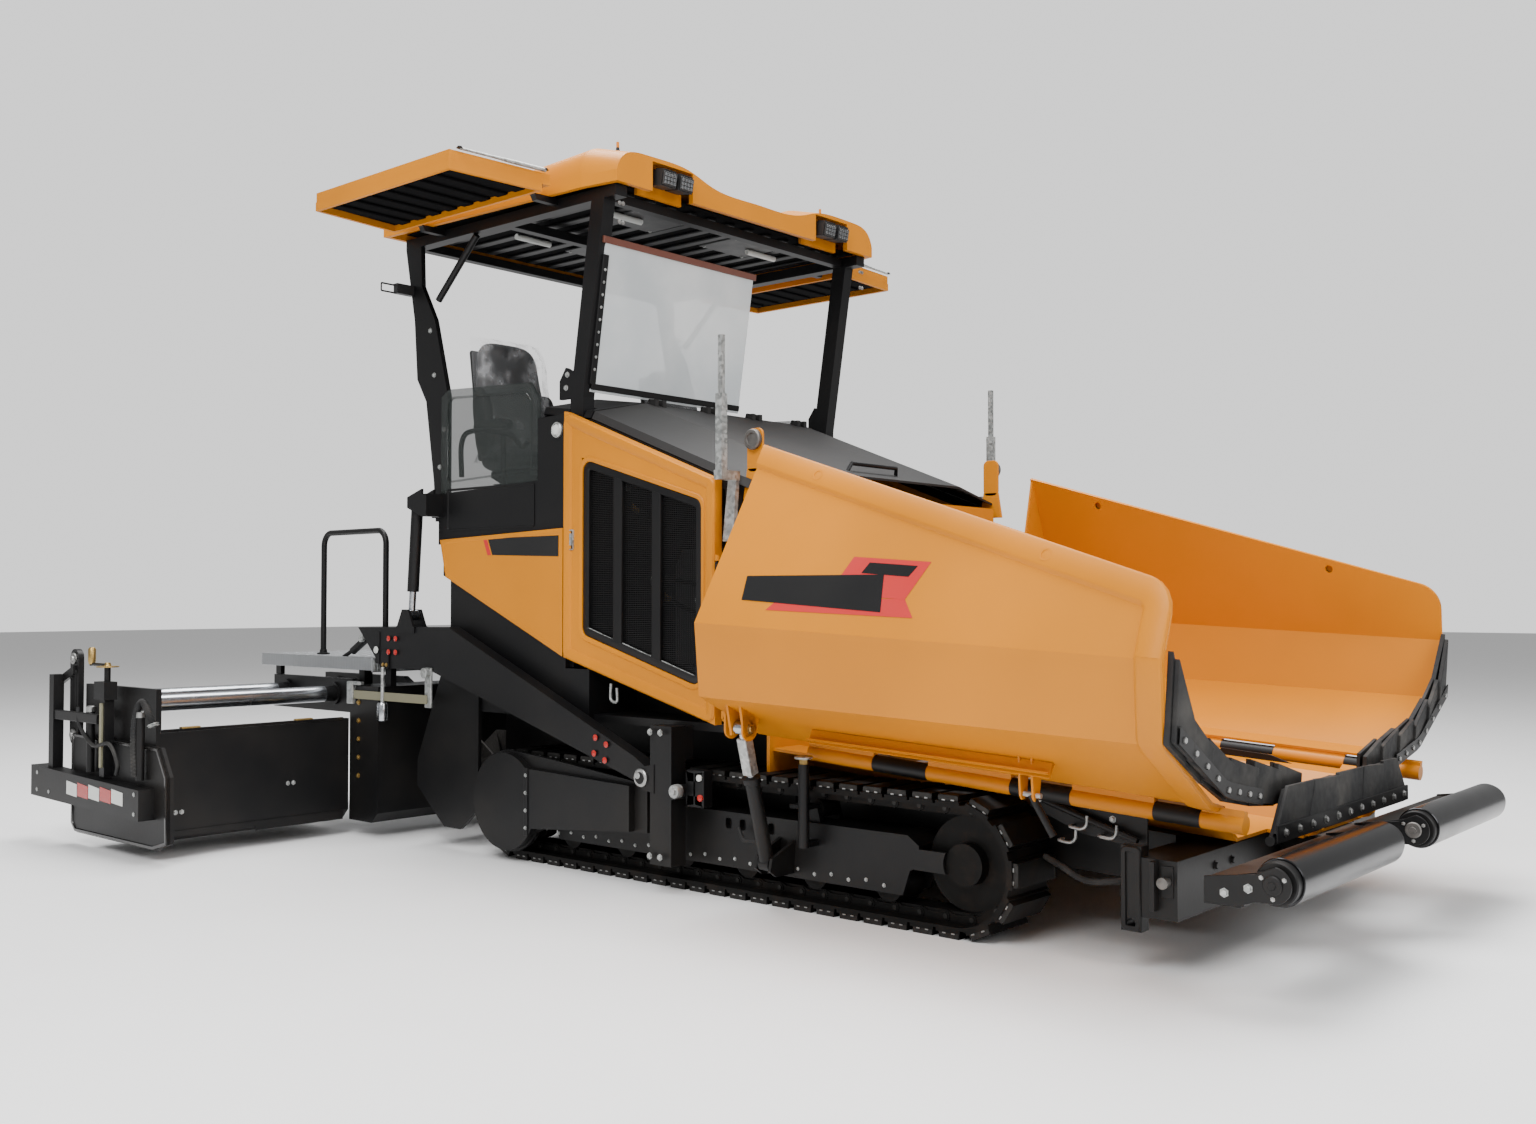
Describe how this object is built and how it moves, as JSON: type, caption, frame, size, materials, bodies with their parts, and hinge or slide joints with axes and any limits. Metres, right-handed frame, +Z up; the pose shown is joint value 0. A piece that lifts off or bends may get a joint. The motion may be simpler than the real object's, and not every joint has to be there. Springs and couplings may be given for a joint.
{
  "type": "tracked asphalt paver",
  "caption": "Tracked road paver with a front hopper, folding wings, engine cowl, canopy over the operators, spreading augers and an extending screed towed behind.",
  "frame": {"origin": "on the ground, in the middle of the machine's length and width with its screed drawn out", "axes": "+X is the front, where the hopper and push rollers are; +Y is the machine's left; +Z is up"},
  "size_m": [7.09, 5.16, 3.905],
  "materials": {
    "yellow_paint": "semi-gloss enamel",
    "black_paint": "satin enamel",
    "track_steel": "dark oiled casting",
    "engine_iron": "dull",
    "clear_glass": "clear",
    "black_plastic": "matt",
    "seat_cover": "vinyl",
    "galvanised_steel": "galvanised",
    "worn_steel": "worn bare steel",
    "polished_steel": "ground bright",
    "rubber": "matt",
    "aluminium_plate": "brushed"
  },
  "bodies": {
    "machine": {"chassis_frame": "black_paint", "track_frames": "black_paint", "track_left": "track_steel", "track_right": "track_steel", "track_wheels": "track_steel", "drive_guards": "black_paint", "tow_guides": "black_paint", "tank_body": "black_paint", "rear_panels": "yellow_paint", "bulkheads": "black_paint", "engine_block": "engine_iron", "platform": "black_paint", "side_windows": "clear_glass", "console": "black_plastic", "seats": "seat_cover", "canopy_frame": "black_paint", "canopy_roof": "yellow_paint", "work_lamps": "black_plastic", "windscreen": "clear_glass", "masts": "galvanised_steel", "hopper_tub": "yellow_paint", "conveyors": "worn_steel", "auger_case": "black_paint"},
    "hood": {"hood": "black_paint"},
    "door_left": {"side_door_left": "yellow_paint", "door_grille_left": "black_paint"},
    "flap_left": {"canopy_flap_left": "yellow_paint"},
    "wing_left": {"hopper_wing_left": "yellow_paint", "wing_apron_left": "rubber"},
    "roller_left": {"push_roller_left": "polished_steel"},
    "wing_barrel_left": {"wing_cylinder_left": "black_paint"},
    "wing_piston_left": {"wing_rod_left": "polished_steel"},
    "lift_barrel_left": {"lift_cylinder_left": "black_paint"},
    "lift_piston_left": {"lift_rod_left": "polished_steel"},
    "feed_left": {"auger_left": "worn_steel"},
    "extension_left": {"screed_extension_left": "black_paint", "end_gate_left": "black_paint"},
    "door_right": {"side_door_right": "yellow_paint", "door_grille_right": "black_paint"},
    "flap_right": {"canopy_flap_right": "yellow_paint"},
    "wing_right": {"hopper_wing_right": "yellow_paint", "wing_apron_right": "rubber"},
    "roller_right": {"push_roller_right": "polished_steel"},
    "wing_barrel_right": {"wing_cylinder_right": "black_paint"},
    "wing_piston_right": {"wing_rod_right": "polished_steel"},
    "lift_barrel_right": {"lift_cylinder_right": "black_paint"},
    "lift_piston_right": {"lift_rod_right": "polished_steel"},
    "feed_right": {"auger_right": "worn_steel"},
    "extension_right": {"screed_extension_right": "black_paint", "end_gate_right": "black_paint"},
    "apron": {"front_apron": "rubber"},
    "beam": {"push_beam": "black_paint"},
    "screed": {"tow_arms": "black_paint", "screed_main": "black_paint", "screed_walkway": "aluminium_plate"}
  },
  "joints": [
    {"name": "screed_lift", "type": "hinge", "parent": "machine", "child": "screed", "pos_m": [0.28, 0, 0.545], "axis": [0, 1, 0], "range_deg": [-1, 2.8]},
    {"name": "hood_lift", "type": "hinge", "parent": "machine", "child": "hood", "pos_m": [-0.275, 0, 2.516], "axis": [0, -1, 0], "range_deg": [0, 55]},
    {"name": "apron_fold", "type": "hinge", "parent": "machine", "child": "apron", "pos_m": [3.225, 0, 0.5], "axis": [0, 1, 0], "range_deg": [0, 45]},
    {"name": "beam_swivel", "type": "hinge", "parent": "machine", "child": "beam", "pos_m": [3.08, 0, 0.4], "axis": [0, 0, 1], "range_deg": [-2.5, 2.5]},
    {"name": "wing_left_fold", "type": "hinge", "parent": "machine", "child": "wing_left", "pos_m": [1.19, 1.05, 0.717], "axis": [0.9981, 0, -0.0617], "range_deg": [0, 40]},
    {"name": "wing_barrel_left_swing", "type": "hinge", "parent": "machine", "child": "wing_barrel_left", "pos_m": [1.06079, 1.215, 0.21501], "axis": [0.9981, 0, -0.0617], "range_deg": [0, 15.8]},
    {"name": "wing_piston_left_slide", "type": "slide", "parent": "wing_barrel_left", "child": "wing_piston_left", "axis": [0.0584, 0.3202, 0.9455], "range_m": [0, 0.19]},
    {"name": "lift_barrel_left_swing", "type": "hinge", "parent": "machine", "child": "lift_barrel_left", "pos_m": [-1.65, 1.2, 1.985], "axis": [0, -1, 0], "range_deg": [-1.3, 3.6]},
    {"name": "lift_piston_left_slide", "type": "slide", "parent": "lift_barrel_left", "child": "lift_piston_left", "axis": [-0.0761, 0, -0.9971], "range_m": [-0.1, 0.037]},
    {"name": "door_left_swing", "type": "hinge", "parent": "machine", "child": "door_left", "pos_m": [0.69, 1.15, 1.5], "axis": [0, 0, -1], "range_deg": [0, 80]},
    {"name": "flap_left_fold", "type": "hinge", "parent": "machine", "child": "flap_left", "pos_m": [-1, 1.245, 3.61], "axis": [-1, 0, 0], "range_deg": [0, 90]},
    {"name": "roller_left_spin", "type": "hinge", "parent": "beam", "child": "roller_left", "pos_m": [3.46, 0, 0.45], "axis": [0, 1, 0], "continuous": true},
    {"name": "auger_left_spin", "type": "hinge", "parent": "machine", "child": "feed_left", "pos_m": [-1.66, 0, 0.42], "axis": [0, 1, 0], "continuous": true},
    {"name": "extension_left_slide", "type": "slide", "parent": "screed", "child": "extension_left", "axis": [0, -1, 0], "range_m": [0, 1.18]},
    {"name": "wing_right_fold", "type": "hinge", "parent": "machine", "child": "wing_right", "pos_m": [1.19, -1.05, 0.717], "axis": [-0.9981, 0, 0.0617], "range_deg": [0, 40]},
    {"name": "wing_barrel_right_swing", "type": "hinge", "parent": "machine", "child": "wing_barrel_right", "pos_m": [1.06079, -1.215, 0.21501], "axis": [-0.9981, 0, 0.0617], "range_deg": [0, 15.8]},
    {"name": "wing_piston_right_slide", "type": "slide", "parent": "wing_barrel_right", "child": "wing_piston_right", "axis": [0.0584, -0.3202, 0.9455], "range_m": [0, 0.19]},
    {"name": "lift_barrel_right_swing", "type": "hinge", "parent": "machine", "child": "lift_barrel_right", "pos_m": [-1.65, -1.2, 1.985], "axis": [0, -1, 0], "range_deg": [-1.3, 3.6]},
    {"name": "lift_piston_right_slide", "type": "slide", "parent": "lift_barrel_right", "child": "lift_piston_right", "axis": [-0.0761, 0, -0.9971], "range_m": [-0.1, 0.037]},
    {"name": "door_right_swing", "type": "hinge", "parent": "machine", "child": "door_right", "pos_m": [0.69, -1.15, 1.5], "axis": [0, 0, 1], "range_deg": [0, 80]},
    {"name": "flap_right_fold", "type": "hinge", "parent": "machine", "child": "flap_right", "pos_m": [-1, -1.245, 3.61], "axis": [1, 0, 0], "range_deg": [0, 90]},
    {"name": "roller_right_spin", "type": "hinge", "parent": "beam", "child": "roller_right", "pos_m": [3.46, 0, 0.45], "axis": [0, 1, 0], "continuous": true},
    {"name": "auger_right_spin", "type": "hinge", "parent": "machine", "child": "feed_right", "pos_m": [-1.66, 0, 0.42], "axis": [0, 1, 0], "continuous": true},
    {"name": "extension_right_slide", "type": "slide", "parent": "screed", "child": "extension_right", "axis": [0, 1, 0], "range_m": [0, 1.18]}
  ],
  "couplings": [
    {"joint": "wing_barrel_left_swing", "follows": "wing_left_fold", "ratio": 0.38934},
    {"joint": "wing_piston_left_slide", "follows": "wing_left_fold", "m_per_rad": 0.26953},
    {"joint": "lift_barrel_left_swing", "follows": "screed_lift", "ratio": 1.115},
    {"joint": "lift_piston_left_slide", "follows": "screed_lift", "m_per_rad": -2.002},
    {"joint": "wing_barrel_right_swing", "follows": "wing_right_fold", "ratio": 0.38934},
    {"joint": "wing_piston_right_slide", "follows": "wing_right_fold", "m_per_rad": 0.26953},
    {"joint": "lift_barrel_right_swing", "follows": "screed_lift", "ratio": 1.115},
    {"joint": "lift_piston_right_slide", "follows": "screed_lift", "m_per_rad": -2.002}
  ]
}
